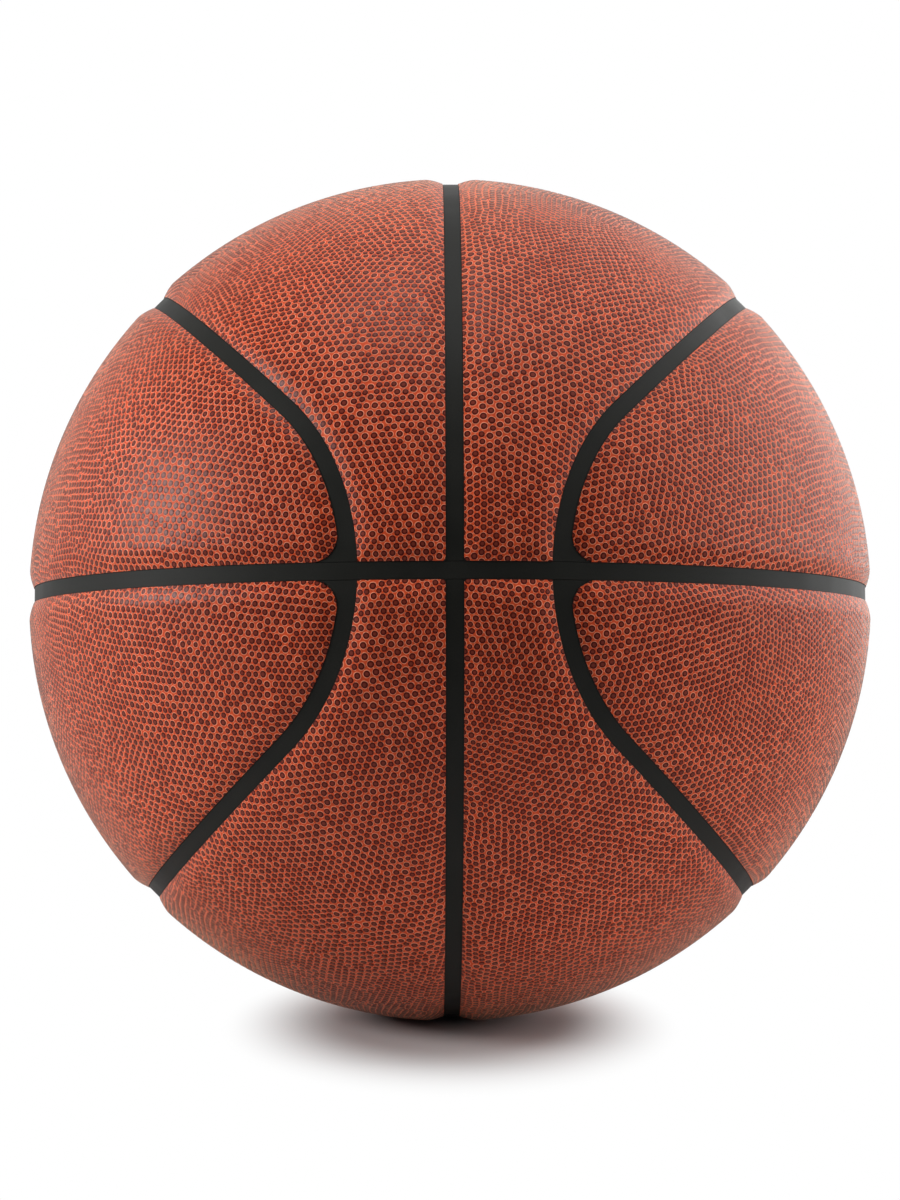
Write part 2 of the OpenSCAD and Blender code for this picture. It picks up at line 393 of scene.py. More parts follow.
@dataclass
class PebbleNet:
    """Triangle net over the whole ball with a vertex where each pebble's middle goes."""

    sizes: BallSizes
    pitch: float = 1.93 * MM       # from pebble to pebble
    seed: int = 11
    start_steps: int = 3           # of the icosphere that the net starts from
    start_rings: int = 4           # which has this many rows of triangles in each of its 20 sides
    flip_share: float = 0.05       # of the edges, tried as the end of a row
    settle_rounds: int = 12
    settle_factor: float = 0.5
    swirl: float = 1.5 * MM        # most that the rows drift
    swirl_length: float = 24 * MM
    swirl_shifts: tuple[float, ...] = (0.0, 31.7, 67.3)    # one noise field for each axis
    wander: float = 0.09 * MM      # of each pebble by itself

    def build(self) -> bpy.types.Mesh:
        """Builds the net, with rows that break and bend as pressed grain has them.

        Returns:
            A mesh on the ball's radius, in no object.
        """
        rng = random.Random(self.seed)
        net = bmesh.new()
        bmesh.ops.create_icosphere(net, subdivisions=self.start_steps, radius=self.sizes.ball_r)
        # The ball's area is that of 20 sides with rings times rings triangles of the pitch.
        rings = math.sqrt(4 * math.pi / (5 * math.sqrt(3))) * self.sizes.ball_r / self.pitch
        cuts = round(rings / self.start_rings) - 1
        bmesh.ops.subdivide_edges(net, edges=net.edges[:], cuts=cuts, use_grid_fill=True)
        self.flip_edges(net, rng)
        for _ in range(self.settle_rounds):
            bmesh.ops.smooth_vert(net, verts=net.verts[:], factor=self.settle_factor,
                                  use_axis_x=True, use_axis_y=True, use_axis_z=True)
        for vert in net.verts:
            flow = self.flow(vert.co)
            stray = Vector([rng.gauss(0, self.wander) for _ in range(3)])
            vert.co = (vert.co + flow + stray).normalized() * self.sizes.ball_r
        mesh = bpy.data.meshes.new("pebble_net")
        net.to_mesh(mesh)
        net.free()
        return mesh

    def flow(self, point: Vector) -> Vector:
        """Gives the slow drift of the grain's rows at a point.

        Args:
            point: the point, on the ball's radius.

        Returns:
            The drift along each axis, in metres.
        """
        place = point / self.swirl_length
        fields = [noise.noise(place + Vector((0, 0, shift))) for shift in self.swirl_shifts]
        return Vector(fields) * self.swirl

    def flip_edges(self, net: bmesh.types.BMesh, rng: random.Random) -> None:
        """Turns some edges, well apart, so that rows of pebbles end and begin there.

        Args:
            net: the even net.
            rng: the source of the choice.
        """
        edges = list(net.edges)
        rng.shuffle(edges)
        taken: set[int] = set()
        picked = []
        for edge in edges[: round(len(edges) * self.flip_share)]:
            corners = {vert for face in edge.link_faces for vert in face.verts}
            if any(vert.index in taken or len(vert.link_edges) != EVEN_NEIGHBOURS for vert in corners):
                continue
            taken.update(vert.index for vert in corners)
            taken.update(e.other_vert(v).index for v in edge.verts for e in v.link_edges)
            picked.append(edge)
        bmesh.ops.rotate_edges(net, edges=picked, use_ccw=False)


@dataclass(frozen=True)
class Grain:
    """Relief of the pebbled grain."""

    reach: float = 49.0            # corner of a pebble's foot, in hundredths of the way to the next
    top_inset: float = 0.24 * MM   # from the foot to the rim of a pebble's top
    height: float = 0.13 * MM      # of a pebble's middle over its foot
    edge_relief: float = 0.5       # share of that height left at the panel's cut edge
    rim_rise: float = 0.86         # height of the top's rim, as a share of its middle's
    disc_share: float = 0.39       # radius of the dark disc, as a share of the distance to the next
    disc_most: float = 0.44        # and at most this share of the distance to the nearest
    disc_r: float = 0.75 * MM      # radius that each disc's own is averaged with
    size_spread: float = 0.04


@dataclass
class CoverPanel:
    """One cover panel: a pebbled skin with rolled cut edges, a wall and an inner face."""

    sizes: BallSizes
    outline: Outline
    half: Half
    side: Side
    grain: Grain = field(default_factory=Grain)
    seed: int = 0
    edge_reach: float = 3 * MM     # of the strip that the cuts work on
    hole_lip: float = 0.9 * MM     # width of the valve hole's eased lip
    hole_drop: float = 0.25 * MM   # of the lip's edge
    lip_power: int = 2
    cut_snap: float = 1e-7         # in metres: a vertex this near to a cutting plane lies on it
    rim_merge: float = 0.02 * MM
    inner_steps: int = 5           # of the icosphere that gives the inner face its points

    @property
    def node(self) -> str:
        """Gives the name of the frame's node that the panel stands for."""
        return f"cover_{self.outline.place.value}_{self.half.name.lower()}_{self.side.name.lower()}"

    def build(self, net: bpy.types.Mesh) -> bpy.types.Object:
        """Builds the panel's mesh.

        Args:
            net: the net of pebble middles over the whole ball.

        Returns:
            The panel's object, not yet dressed.
        """
        panel = bmesh.new()
        panel.from_mesh(net)
        rng = random.Random(self.seed)
        turn = Quaternion([rng.gauss(0, 1) for _ in range(4)]).normalized()
        bmesh.ops.rotate(panel, verts=panel.verts[:], cent=(0, 0, 0), matrix=turn.to_matrix())
        self.trim(panel, -self.edge_reach)
        self.raise_pebbles(panel, rng)
        self.cut(panel)
        self.shape(panel)
        self.close(panel)
        bmesh.ops.scale(panel, verts=panel.verts[:], vec=(-self.side.value, 1, self.half.value))
        bmesh.ops.recalc_face_normals(panel, faces=panel.faces[:])
        for face in panel.faces:
            face.smooth = True
        mesh = bpy.data.meshes.new(self.node)
        panel.to_mesh(mesh)
        panel.free()
        piece = bpy.data.objects.new(f"pebbled_{self.node}", mesh)
        bpy.context.scene.collection.objects.link(piece)
        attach(piece, "root")
        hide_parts(self.node)
        return piece

    def trim(self, panel: bmesh.types.BMesh, limit: float) -> None:
        """Deletes the faces whose middle lies outside the panel.

        Args:
            panel: the mesh, in the upper left quarter.
            limit: least distance inside the cut edge that stays, in metres.
        """
        inside = self.outline.edge_distance(middles_of(panel.faces))
        outer = [f for f, distance in zip(panel.faces, inside) if distance < limit]
        bmesh.ops.delete(panel, geom=outer, context="FACES")

    def raise_pebbles(self, panel: bmesh.types.BMesh, rng: random.Random) -> None:
        """Turns each vertex into a pebble: a many-sided foot, a rim inside it and a middle.

        Args:
            panel: the net under the panel.
            rng: the source of each pebble's own size and tone.
        """
        grain = self.grain
        offset = panel.verts.layers.float_vector.new("pebble_offset")
        rise = panel.verts.layers.float.new("pebble_rise")
        tone = panel.verts.layers.float.new("pebble_tone")
        made = bmesh.ops.bevel(panel, geom=panel.verts[:], affect="VERTICES", offset=grain.reach,
                               offset_type="PERCENT", segments=1, profile=0.5, material=-1)
        tops = made["faces"]
        middles = []
        for foot in tops:
            middle = foot.calc_center_median()
            reaches = [(v.co - middle).length / (grain.reach / PERCENT) for v in foot.verts]
            own = sum(reaches) / len(reaches) * grain.disc_share
            disc = (own + grain.disc_r) / 2 * (1 + rng.gauss(0, grain.size_spread))
            disc = min(disc, min(reaches) * grain.disc_most)
            shade = rng.random()
            middles.append((middle, disc, shade))
            for vert in foot.verts:
                vert[offset] = (vert.co - middle) / disc
                vert[tone] = shade
        bmesh.ops.inset_individual(panel, faces=tops, thickness=grain.top_inset, depth=0,
                                   use_even_offset=True, use_interpolate=True)
        for top, (middle, disc, shade) in zip(tops, middles):
            for edge in top.edges:
                edge.smooth = False
            for vert in top.verts:
                vert[offset] = (vert.co - middle) / disc
                vert[rise] = grain.rim_rise
                vert[tone] = shade
        poked = bmesh.ops.poke(panel, faces=tops, offset=0, center_mode="MEAN")
        for vert in poked["verts"]:
            near = vert.link_edges[0].other_vert(vert)
            vert[offset] = (0, 0, 0)
            vert[rise] = 1
            vert[tone] = near[tone]

    def cut(self, panel: bmesh.types.BMesh) -> None:
        """Cuts the skin along the panel's outline and deletes what lies outside.

        Args:
            panel: the pebbled skin.
        """
        inside = self.outline.edge_distance(middles_of(panel.faces))
        border = [f for f, distance in zip(panel.faces, inside) if distance < self.edge_reach]
        for normal, off, may_cut in self.outline.cuts():
            middles = middles_of(border)
            hits = (np.abs(middles @ normal - off) < self.edge_reach) & may_cut(units_of(middles))
            picked = [f for f, hit in zip(border, hits) if hit]
            edges = dict.fromkeys(e for f in picked for e in f.edges)
            verts = dict.fromkeys(v for f in picked for v in f.verts)
            made = bmesh.ops.bisect_plane(panel, geom=[*verts, *edges, *picked], dist=self.cut_snap,
                                          plane_co=Vector(normal * off), plane_no=Vector(normal))
            border = [f for f, hit in zip(border, hits) if not hit]
            border += [g for g in made["geom"] if isinstance(g, bmesh.types.BMFace)]
        inside = self.outline.edge_distance(middles_of(border))
        outer = [f for f, distance in zip(border, inside) if distance < 0]
        bmesh.ops.delete(panel, geom=outer, context="FACES")
        rim = [v for v in panel.verts if v.is_boundary]
        bmesh.ops.remove_doubles(panel, verts=rim, dist=self.rim_merge)
        bmesh.ops.delete(panel, geom=[v for v in panel.verts if not v.link_faces], context="VERTS")
        bmesh.ops.delete(panel, geom=[e for e in panel.edges if e.is_wire], context="EDGES")

    def shape(self, panel: bmesh.types.BMesh) -> None:
        """Raises the pebbles, rolls the cut edges down and eases the lip of the valve's hole.

        Args:
            panel: the cut skin, still on the ball's radius.
        """
        sizes = self.sizes
        rise = panel.verts.layers.float["pebble_rise"]
        points = np.array([v.co[:] for v in panel.verts])
        units = units_of(points)
        plain = Outline(sizes, self.outline.place)
        share = np.clip(plain.edge_distance(points) / sizes.shoulder_w, 0, 1)
        radius = sizes.ball_r - sizes.edge_drop * (1 - share) ** sizes.shoulder_power
        relief = self.grain.height * (self.grain.edge_relief + (1 - self.grain.edge_relief) * share)
        if self.outline.valve:
            lip = np.clip(self.outline.hole_distance(units) / self.hole_lip, 0, 1)
            radius -= self.hole_drop * (1 - lip) ** self.lip_power
        for vert, crown, depth in zip(panel.verts, radius, relief):
            vert.co = vert.co.normalized() * (crown - depth * (1 - vert[rise]))

    def close(self, panel: bmesh.types.BMesh) -> None:
        """Gives the skin its wall and its inner face, so that the panel is a closed solid.

        Args:
            panel: the finished skin.
        """
        rim = [e for e in panel.edges if e.is_boundary]
        grown = bmesh.ops.extrude_edge_only(panel, edges=rim)["geom"]
        foot = [g for g in grown if isinstance(g, bmesh.types.BMVert)]
        foot_edges = [g for g in grown if isinstance(g, bmesh.types.BMEdge) and g.is_boundary]
        for face in (g for g in grown if isinstance(g, bmesh.types.BMFace)):
            face.material_index = CUT_SIDE
        for edge in rim + foot_edges:
            edge.smooth = False
        for vert in foot:
            vert.co = vert.co.normalized() * self.sizes.cover_in
        middle = sum((v.co for v in foot), Vector()).normalized()
        to_flat = middle.rotation_difference(Vector((0, 0, 1)))
        flat = [self.flatten(to_flat @ vert.co) for vert in foot]
        index = {vert: i for i, vert in enumerate(foot)}
        loops = [(index[e.verts[0]], index[e.verts[1]]) for e in foot_edges]
        flat += self.inner_points(to_flat)
        coords, _, triangles, *_ = delaunay_2d_cdt(flat, loops, [], INSIDE_ONLY, 0)
        verts = foot + [panel.verts.new(to_flat.inverted() @ self.swell(c)) for c in coords[len(foot):]]
        fresh = []
        for corners_of_face in triangles:
            face = panel.faces.new([verts[i] for i in corners_of_face])
            face.material_index = INNER_SIDE
            fresh.append(face)
        if self.outline.valve:
            self.open_hole(panel, fresh, set(foot_edges))

    def open_hole(self, panel: bmesh.types.BMesh, fresh: list[bmesh.types.BMFace],
                  border: set[bmesh.types.BMEdge]) -> None:
        """Deletes the triangles that close the valve's hole in the inner face.

        Args:
            panel: the closed panel.
            fresh: the inner face's triangles.
            border: the inner face's edges, outside and round the hole.
        """
        under_valve = np.argmax(units_of(middles_of(fresh)) @ self.sizes.valve_axis)
        front = [fresh[int(under_valve)]]
        lid = set(front)
        while front:
            beside = {f for face in front for e in face.edges if e not in border for f in e.link_faces}
            front = list(beside - lid)
            lid.update(front)
        bmesh.ops.delete(panel, geom=list(lid), context="FACES")

    def inner_points(self, to_flat: Quaternion) -> list[Vector]:
        """Gives coarse points on the inner face, well inside its edge.

        Args:
            to_flat: the turn that brings the panel's middle to the top.

        Returns:
            The points, laid flat.
        """
        ball = bmesh.new()
        bmesh.ops.create_icosphere(ball, subdivisions=self.inner_steps, radius=self.sizes.cover_in)
        points = [v.co.copy() for v in ball.verts]
        ball.free()
        inside = self.outline.edge_distance(np.array([p[:] for p in points]))
        return [self.flatten(to_flat @ p) for p, distance in zip(points, inside)
                if distance > self.edge_reach]

    def flatten(self, point: Vector) -> Vector:
        """Maps a point of the inner sphere to the plane that touches it at the top.

        Args:
            point: the point, with the panel's middle turned to the top.

        Returns:
            Its place on the plane, in metres.
        """
        radius = self.sizes.cover_in
        unit = point / radius
        return Vector((unit.x, unit.y)) * (2 * radius / (1 + unit.z))

    def swell(self, point: Vector) -> Vector:
        """Maps a point of that plane back to the inner sphere.

        Args:
            point: the point's place on the plane, in metres.

        Returns:
            The point on the inner sphere.
        """
        radius = self.sizes.cover_in
        flat = Vector((point[0], point[1])) / (2 * radius)
        square = flat.length_squared
        return Vector((2 * flat.x, 2 * flat.y, 1 - square)) * (radius / (1 + square))

    def dress(self, piece: bpy.types.Object, skin: bpy.types.Material,
              cut_side: bpy.types.Material, inner_side: bpy.types.Material) -> None:
        """Gives the panel's pebbled skin, cut wall and cemented inner face their materials."""
        for material in (skin, cut_side, inner_side):
            piece.data.materials.append(material)


@dataclass(frozen=True)
class PebbledLeather:
    """Polyurethane composite leather, pressed with a pebbled grain and printed dark on its tops.

    The eye sees dark red discs in a bright orange net.  The tops shine softly, the net is duller,
    and towards the ball's outline the fine tooth of the sheet lays a pale sheen over both.
    """

    name: str = "composite_leather_pebbled"
    # The printed disc has two tones: its lighter middle is a painted sheen, and its darker edge is the
    # ink with painted shade where the pebble's top slopes down.
    top: str = "#803427"
    rim: str = "#520500"
    # A painted highlight: the light ring round each disc stands for the lit flank of the raised pebble.
    painted_flank_highlight: str = "#FFA07C"
    net: str = "#E05228"
    zones_end: float = 2.0         # the colour ramp ends at this many radii of the printed disc
    net_rise: float = 0.1          # share of a pebble's height at which the net's colour ends
    top_roughness: float = 0.33
    net_roughness: float = 0.5
    specular: float = 0.16
    sheen: float = 0.4
    sheen_roughness: float = 0.38
    sheen_tint: str = "#FFCFB0"
    wobble_size: float = 0.9 * MM
    wobble: float = 0.22           # of a disc's edge, in radii
    ink_spread: float = 0.1        # of a pebble's tone
    mottle_size: float = 30 * MM
    mottle_spread: float = 0.03
    fine_size: float = 0.3 * MM    # of the sheet's tooth
    fine_depth: float = 0.015 * MM

    @property
    def zones(self) -> list[tuple[float, str]]:
        """Gives the colours from a pebble's middle outwards, each at its place in disc radii: the
        printed disc with a painted sheen in its middle and painted shade at its sloping edge, a ring of
        painted highlight, then the net.
        """
        return [(0.0, self.top), (0.4, self.top), (0.7, self.rim), (0.97, self.rim),
                (1.07, self.painted_flank_highlight), (1.18, self.painted_flank_highlight), (1.32, self.net)]

    def build(self) -> bpy.types.Material:
        """Builds the material from the pebbles' own attributes.

        Returns:
            The finished material.
        """
        material, tree, output = new_material(self.name)
        place = add_node(tree, "ShaderNodeTexCoord").outputs["Object"]
        offset, rise, tone = (
            add_node(tree, "ShaderNodeAttribute", {"attribute_name": f"pebble_{name}"})
            for name in ("offset", "rise", "tone"))
        # A fine noise makes the printed discs a little out of round, as ink on pressed grain is.
        wobble = add_node(tree, "ShaderNodeTexNoise", inputs={
            "Vector": place, "Scale": 1 / self.wobble_size, "Detail": 1.0})
        radius = add_node(tree, "ShaderNodeVectorMath", {"operation": "LENGTH"},
                          {0: offset.outputs["Vector"]})
        centred = add_node(tree, "ShaderNodeMath", {"operation": "SUBTRACT"},
                           {0: wobble.outputs["Fac"], 1: NOISE_MIDDLE})
        bent = add_node(tree, "ShaderNodeMath", {"operation": "MULTIPLY_ADD"},
                        {0: centred.outputs[0], 1: self.wobble, 2: radius.outputs["Value"]})
        scaled = add_node(tree, "ShaderNodeMath", {"operation": "MULTIPLY"},
                          {0: bent.outputs[0], 1: 1 / self.zones_end})
        zones = add_node(tree, "ShaderNodeValToRGB", inputs={"Fac": scaled.outputs[0]})
        set_ramp(zones, [(radii / self.zones_end, code) for radii, code in self.zones])
        on_foot = add_node(tree, "ShaderNodeMapRange", SMOOTH,
                           {"Value": rise.outputs["Fac"], "From Max": self.net_rise})
        grain = add_node(tree, "ShaderNodeMix", {"data_type": "RGBA"}, {
            "Factor": on_foot.outputs["Result"], 6: linear(self.net), 7: zones.outputs["Color"]})
        # Each pebble takes the ink a little differently, and the sheet is not quite even.
        ink = add_node(tree, "ShaderNodeMapRange", inputs={
            "Value": tone.outputs["Fac"], "To Min": 1 - self.ink_spread, "To Max": 1 + self.ink_spread})
        mottle = add_node(tree, "ShaderNodeTexNoise", inputs={
            "Vector": place, "Scale": 1 / self.mottle_size, "Detail": 3.0})
        patch = add_node(tree, "ShaderNodeMapRange", inputs={
            "Value": mottle.outputs["Fac"], "From Min": NOISE_LOW, "From Max": NOISE_HIGH,
            "To Min": 1 - self.mottle_spread, "To Max": 1 + self.mottle_spread})
        both = add_node(tree, "ShaderNodeMath", {"operation": "MULTIPLY"},
                        {0: ink.outputs["Result"], 1: patch.outputs["Result"]})
        colour = add_node(tree, "ShaderNodeVectorMath", {"operation": "SCALE"},
                          {0: grain.outputs[2], "Scale": both.outputs[0]})
        gloss = add_node(tree, "ShaderNodeMapRange", inputs={
            "Value": rise.outputs["Fac"], "To Min": self.net_roughness, "To Max": self.top_roughness})
        fine = add_node(tree, "ShaderNodeTexNoise", inputs={
            "Vector": place, "Scale": 1 / self.fine_size, "Detail": 2.0})
        bump = add_node(tree, "ShaderNodeBump", inputs={
            "Strength": 0.6, "Distance": self.fine_depth, "Height": fine.outputs["Fac"]})
        shader = add_node(tree, "ShaderNodeBsdfPrincipled", inputs={
            "Base Color": colour.outputs[0], "Roughness": gloss.outputs["Result"],
            "IOR": POLYMER_IOR, "Specular IOR Level": self.specular, "Sheen Weight": self.sheen,
            "Sheen Roughness": self.sheen_roughness, "Sheen Tint": linear(self.sheen_tint),
            "Normal": bump.outputs["Normal"]})
        tree.links.new(shader.outputs["BSDF"], output.inputs["Surface"])
        return material


@dataclass(frozen=True)
class SpeckledFinish:
    """A plain body colour broken by a fine speckle, with a fine moulded or cut texture.

    The speckle is what keeps rubber, sponge and felt from looking like paint: its size comes from
    the real filler, cell or fibre, in metres.
    """

    name: str
    body: str
    speck: str
    speck_size: float
    roughness: float
    depth: float
    specular: float = 0.5
    patch_size: float = 12 * MM    # of patches that are duller, or have more specks
    gloss_spread: float = 0.05
    body_until: float = 0.12       # up to this value of the noise there is the body's colour only
    speck_from: float = 0.45       # and from this one the speck's

    def build(self) -> bpy.types.Material:
        """Builds the material on the piece's own coordinates.

        Returns:
            The finished material.
        """
        material, tree, output = new_material(self.name)
        place = add_node(tree, "ShaderNodeTexCoord").outputs["Object"]
        fine = add_node(tree, "ShaderNodeTexNoise", inputs={
            "Vector": place, "Scale": 1 / self.speck_size, "Detail": 4.0})
        patch = add_node(tree, "ShaderNodeTexNoise", inputs={
            "Vector": place, "Scale": 1 / self.patch_size, "Detail": 2.0})
        mixed = add_node(tree, "ShaderNodeMath", {"operation": "MULTIPLY"},
                         {0: fine.outputs["Fac"], 1: patch.outputs["Fac"]})
        colours = add_node(tree, "ShaderNodeValToRGB", inputs={"Fac": mixed.outputs[0]})
        set_ramp(colours, [(self.body_until, self.body), (self.speck_from, self.speck)])
        gloss = add_node(tree, "ShaderNodeMapRange", inputs={
            "Value": patch.outputs["Fac"], "From Min": NOISE_LOW, "From Max": NOISE_HIGH,
            "To Min": self.roughness - self.gloss_spread,
            "To Max": self.roughness + self.gloss_spread})
        bump = add_node(tree, "ShaderNodeBump", inputs={
            "Strength": 0.5, "Distance": self.depth, "Height": fine.outputs["Fac"]})
        shader = add_node(tree, "ShaderNodeBsdfPrincipled", inputs={
            "Base Color": colours.outputs["Color"], "Roughness": gloss.outputs["Result"],
            "IOR": POLYMER_IOR, "Specular IOR Level": self.specular,
            "Normal": bump.outputs["Normal"]})
        tree.links.new(shader.outputs["BSDF"], output.inputs["Surface"])
        return material


@dataclass(frozen=True)
class WoundNylon:
    """Nylon thread wound over the bladder in great circles, set in latex.

    The eye sees pale, half dull threads that cross, with darker latex between them.
    """

    name: str = "nylon_thread_wound"
    thread: str = "#DDD6C4"
    gap: str = "#8D8570"
    thread_pitch: float = 0.9 * MM
    depth: float = 0.12 * MM
    roughness: float = 0.6
    lays: tuple[tuple[float, float, float], ...] = ((0.5, 0.3, 0.0), (-0.6, 0.2, 1.1))    # turns

    def build(self) -> bpy.types.Material:
        """Builds the material from bands that cross in two directions.

        Returns:
            The finished material.
        """
        material, tree, output = new_material(self.name)
        place = add_node(tree, "ShaderNodeTexCoord").outputs["Object"]
        bands = []
        for turn in self.lays:
            turned = add_node(tree, "ShaderNodeMapping", inputs={"Vector": place, "Rotation": turn})
            bands.append(add_node(tree, "ShaderNodeTexWave", inputs={
                "Vector": turned.outputs["Vector"], "Scale": WAVE_LENGTH / self.thread_pitch,
                "Distortion": 1.5, "Detail": 1.0}))
        top = add_node(tree, "ShaderNodeMath", {"operation": "MAXIMUM"},
                       {0: bands[0].outputs["Fac"], 1: bands[1].outputs["Fac"]})
        colours = add_node(tree, "ShaderNodeValToRGB", inputs={"Fac": top.outputs[0]})
        set_ramp(colours, [(0.35, self.gap), (0.85, self.thread)])
        bump = add_node(tree, "ShaderNodeBump", inputs={
            "Strength": 0.8, "Distance": self.depth, "Height": top.outputs[0]})
        shader = add_node(tree, "ShaderNodeBsdfPrincipled", inputs={
            "Base Color": colours.outputs["Color"], "Roughness": self.roughness,
            "Normal": bump.outputs["Normal"]})
        tree.links.new(shader.outputs["BSDF"], output.inputs["Surface"])
        return material


# Moulded rubber: a deep, dull black that greys a little where its filler shows.
CHANNEL_RUBBER = SpeckledFinish(
    "rubber_moulded_channel", "#1F201D", "#292926", 0.25 * MM, 0.55, 0.02 * MM, 0.15)
# Leather cut by a die, drawn out into short fibres with no shine: its dark brown is partly the cut
# polyurethane and partly painted shade for the narrow gap beside the channel.
CUT_LEATHER = SpeckledFinish(
    "composite_leather_cut_side", "#1C100D", "#3A1D16", 0.2 * MM, 0.8, 0.03 * MM)
# Felt of microfibres: pale and soft, since the loose fibres scatter all light.
FELT_BACK = SpeckledFinish("microfibre_felt_back", "#B9A88E", "#D5C7AE", 0.5 * MM, 0.9, 0.05 * MM)
# Sponge rubber: cells as large as pinheads, dark inside, with paler walls between them.
SPONGE = SpeckledFinish("sponge_rubber_sheet", "#2A2826", "#4A4642", 0.7 * MM, 0.9, 0.15 * MM)
# Rubber vulcanised over the winding: brownish black and a little uneven.
CARCASS_RUBBER = SpeckledFinish(
    "rubber_vulcanised_carcass", "#262421", "#37342F", 0.4 * MM, 0.7, 0.04 * MM)
# Moulded butyl rubber: dense and smooth, so it has a half gloss.
BUTYL_RUBBER = SpeckledFinish(
    "butyl_rubber_moulded", "#343230", "#45423E", 0.4 * MM, 0.45, 0.02 * MM)
# Moulded rubber of the seat: plain black with a faint gloss.
SEAT_RUBBER = SpeckledFinish("rubber_moulded_seat", "#22211F", "#34322F", 0.3 * MM, 0.5, 0.02 * MM)
# Moulded rubber of the plug: the blackest and smoothest, so that it gleams a little.
PLUG_RUBBER = SpeckledFinish(
    "rubber_moulded_plug", "#181816", "#2A2926", 0.2 * MM, 0.42, 0.015 * MM)


@dataclass
class Covers:
    """The eight pebbled cover panels."""

    sizes: BallSizes
    seed: int = 40

    def build(self) -> list[bpy.types.Object]:
        """Builds and dresses the panels.

        Returns:
            The panels' objects.
        """
        skin, cut_side, inner_side = PebbledLeather().build(), CUT_LEATHER.build(), FELT_BACK.build()
        net = PebbleNet(self.sizes).build()
        pieces = []
        for place in Place:
            for half in Half:
                for side in Side:
                    valve = (place, half, side) == (Place.CENTRE, Half.UPPER, Side.RIGHT)
                    outline = Outline(self.sizes, place, valve)
                    panel = CoverPanel(self.sizes, outline, half, side, seed=self.seed + len(pieces))
                    piece = panel.build(net)
                    panel.dress(piece, skin, cut_side, inner_side)
                    pieces.append(piece)
                    LOG.info("%s: %d faces", piece.name, len(piece.data.polygons))
        bpy.data.meshes.remove(net)
        return pieces


@dataclass
class InnerLayers:
    """What lies under the cover: frame nodes whose shapes stay and that get their finishes."""

    nodes: dict[str, bpy.types.Object]

    def dress(self) -> None:
        """Dresses each node by what it is made of."""
        finishes = {
            "channel_": CHANNEL_RUBBER.build(), "backing_": SPONGE.build(),
            "carcass": CARCASS_RUBBER.build(), "thread_winding": WoundNylon().build(),
            "bladder": BUTYL_RUBBER.build(), "valve_seat": SEAT_RUBBER.build(),
            "valve_plug": PLUG_RUBBER.build(),
        }
        for name, node in sorted(self.nodes.items()):
            for start, material in finishes.items():
                if name.startswith(start):
                    for material_slot in node.material_slots:
                        material_slot.material = material
                    LOG.info("%s: %s", name, material.name)


@dataclass(frozen=True)
class Lamp:
    """A soft rectangular lamp that faces the ball."""

    name: str
    towards: tuple[float, float, float]     # direction from the ball to the lamp
    size: tuple[float, float]               # width and height, in metres
    power: float                            # in watts
    distance: float = 1.1                   # from the ball's centre, in metres

    def build(self) -> None:
        """Adds the lamp to the scene."""
        lamp = bpy.data.lights.new(self.name, "AREA")
        lamp.shape = "RECTANGLE"
        lamp.size, lamp.size_y = self.size
        lamp.energy = self.power
        holder = bpy.data.objects.new(self.name, lamp)
        bpy.context.scene.collection.objects.link(holder)
        place = Vector(self.towards).normalized() * self.distance
        holder.location = place
        holder.rotation_euler = place.to_track_quat("Z", "Y").to_euler()


